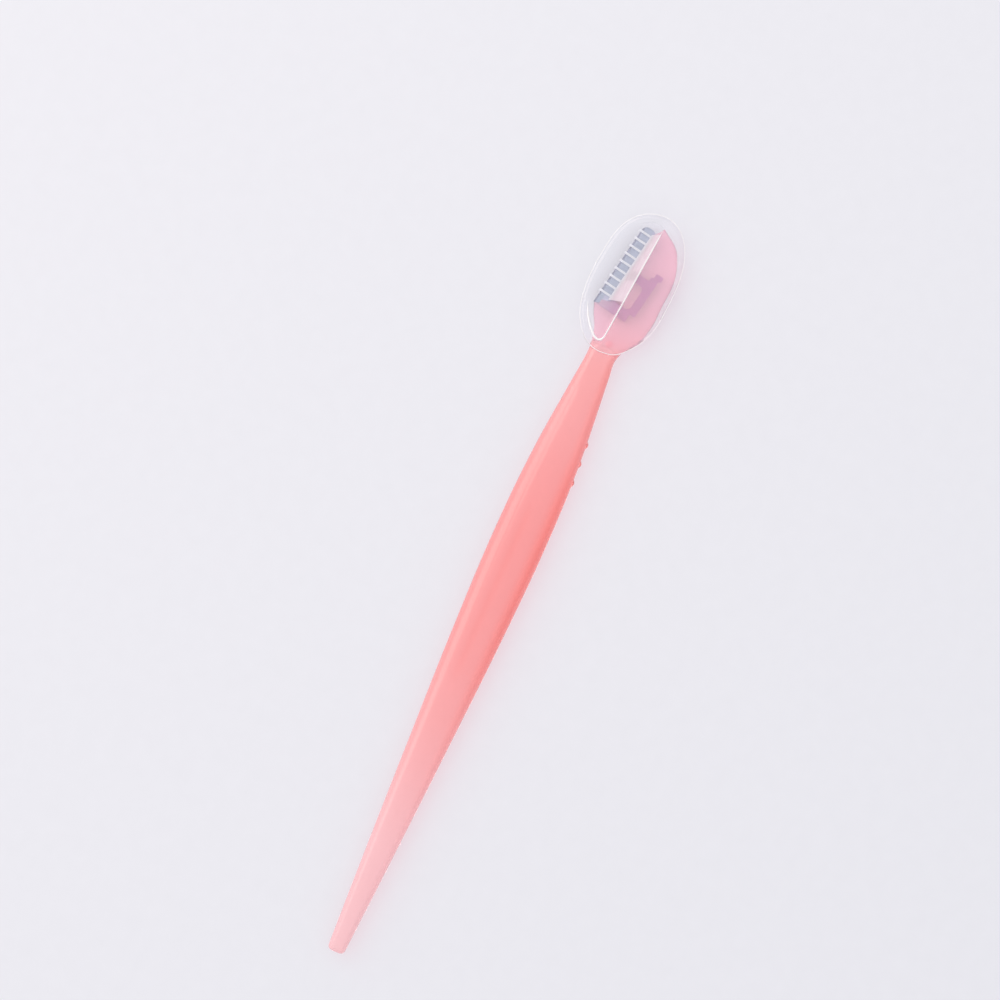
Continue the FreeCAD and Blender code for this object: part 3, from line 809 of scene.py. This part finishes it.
# Turn of the picture's right from the X axis; the lamp's bearing from there, its rise, distance and size
PICTURE_TURN = math.radians(-65.9)
LAMP_BEARING = math.radians(135)
LAMP_RISE = math.radians(45)
LAMP_DISTANCE = 1150.0
LAMP_SIZE = 1200.0
LAMP_POWER = 7.05
LAMP_COLOUR = "FFF0E4"

# Strength of the sky between two cosines of the angle to the lamp, and the least where plastic shows it
SKY_COLOUR = "F9FBFF"
SKY_COSINES = (-0.7, 0.9)
SKY_STRENGTHS = (0.5, 0.94)
SKY_THROUGH_PLASTIC = 0.9


def pale_board():
    """Matt pale board with a faint paper tooth."""
    material = new_material("pale_matt_board")
    tree = material.node_tree
    place = add_node(tree, "ShaderNodeTexCoord")
    tooth = add_node(tree, "ShaderNodeTexNoise", {
        "Vector": place.outputs["Object"], "Scale": 1 / (BOARD_TOOTH * MM), "Detail": 3.0,
    })
    shade = add_node(tree, "ShaderNodeMix", {
        "Factor": tooth.outputs["Fac"], "A": linear(BOARD_SHADES[0]), "B": linear(BOARD_SHADES[1]),
    }, data_type="RGBA")
    paper = add_node(tree, "ShaderNodeBsdfPrincipled", {
        "Base Color": shade.outputs["Result"], "Roughness": 0.9, "Specular IOR Level": 0.1,
    })
    add_node(tree, "ShaderNodeOutputMaterial", {"Surface": paper.outputs[0]})
    return material


half_board = BOARD_SIZE / 2 * MM
board_corners = [
    (x * half_board, y * half_board, -BOARD_DROP * MM) for x, y in ((-1, -1), (1, -1), (1, 1), (-1, 1))
]
board_mesh = bpy.data.meshes.new("board")
board_mesh.from_pydata(board_corners, [], [(0, 1, 2, 3)])
board = bpy.data.objects.new("board", board_mesh)
bpy.context.collection.objects.link(board)
board.data.materials.append(pale_board())

bearing = PICTURE_TURN + LAMP_BEARING
towards_lamp = np.array([
    math.cos(LAMP_RISE) * math.cos(bearing), math.cos(LAMP_RISE) * math.sin(bearing), math.sin(LAMP_RISE),
])
lamp_data = bpy.data.lights.new("soft_lamp", "AREA")
lamp_data.size = LAMP_SIZE * MM
lamp_data.energy = LAMP_POWER
lamp_data.color = linear(LAMP_COLOUR)[:3]
lamp = bpy.data.objects.new("soft_lamp", lamp_data)
lamp.location = towards_lamp * LAMP_DISTANCE * MM
lamp.rotation_euler = (math.pi / 2 - LAMP_RISE, 0.0, math.pi / 2 + bearing)
lamp.visible_camera = False
bpy.context.collection.objects.link(lamp)

world = bpy.data.worlds.new("soft_studio")
world.use_nodes = True
world.node_tree.nodes.clear()
looking = add_node(world.node_tree, "ShaderNodeTexCoord")
to_lamp = add_node(world.node_tree, "ShaderNodeVectorMath", {
    0: looking.outputs["Generated"], 1: towards_lamp.tolist(),
}, operation="DOT_PRODUCT")
falling = add_node(world.node_tree, "ShaderNodeMapRange", {
    "Value": to_lamp.outputs["Value"], "From Min": SKY_COSINES[0], "From Max": SKY_COSINES[1],
    "To Min": SKY_STRENGTHS[0], "To Max": SKY_STRENGTHS[1],
})
path = add_node(world.node_tree, "ShaderNodeLightPath")
through = add_node(world.node_tree, "ShaderNodeMath", {
    0: path.outputs["Is Transmission Ray"], 1: SKY_THROUGH_PLASTIC,
}, operation="MULTIPLY")
strength = add_node(world.node_tree, "ShaderNodeMath", {
    0: falling.outputs["Result"], 1: through.outputs[0],
}, operation="MAXIMUM")
sky = add_node(world.node_tree, "ShaderNodeBackground", {
    "Color": linear(SKY_COLOUR), "Strength": strength.outputs[0],
})
add_node(world.node_tree, "ShaderNodeOutputWorld", {"Surface": sky.outputs[0]})
bpy.context.scene.world = world


# Camera. Straight above the board, as far off as a product camera, with the razor leaning to the right.
# The width of the picture is set at the razor's own height, and light may pass many clear walls.

PICTURE_WIDTH = 175.8
PICTURE_CENTRE = (5.65, 5.96)
CAMERA_HEIGHT = 800.0
RAZOR_HEIGHT = 3.0
LIGHT_BOUNCES = 24

camera_data = bpy.data.cameras.new("camera")
camera_data.angle = 2 * math.atan(PICTURE_WIDTH / 2 / (CAMERA_HEIGHT - RAZOR_HEIGHT))
camera = bpy.data.objects.new("camera", camera_data)
camera.location = (PICTURE_CENTRE[0] * MM, PICTURE_CENTRE[1] * MM, CAMERA_HEIGHT * MM)
camera.rotation_euler = (0.0, 0.0, PICTURE_TURN)
bpy.context.collection.objects.link(camera)

scene = bpy.context.scene
scene.camera = camera
scene.view_settings.view_transform = "Standard"
scene.cycles.max_bounces = LIGHT_BOUNCES
scene.cycles.transmission_bounces = LIGHT_BOUNCES
scene.cycles.transparent_max_bounces = LIGHT_BOUNCES
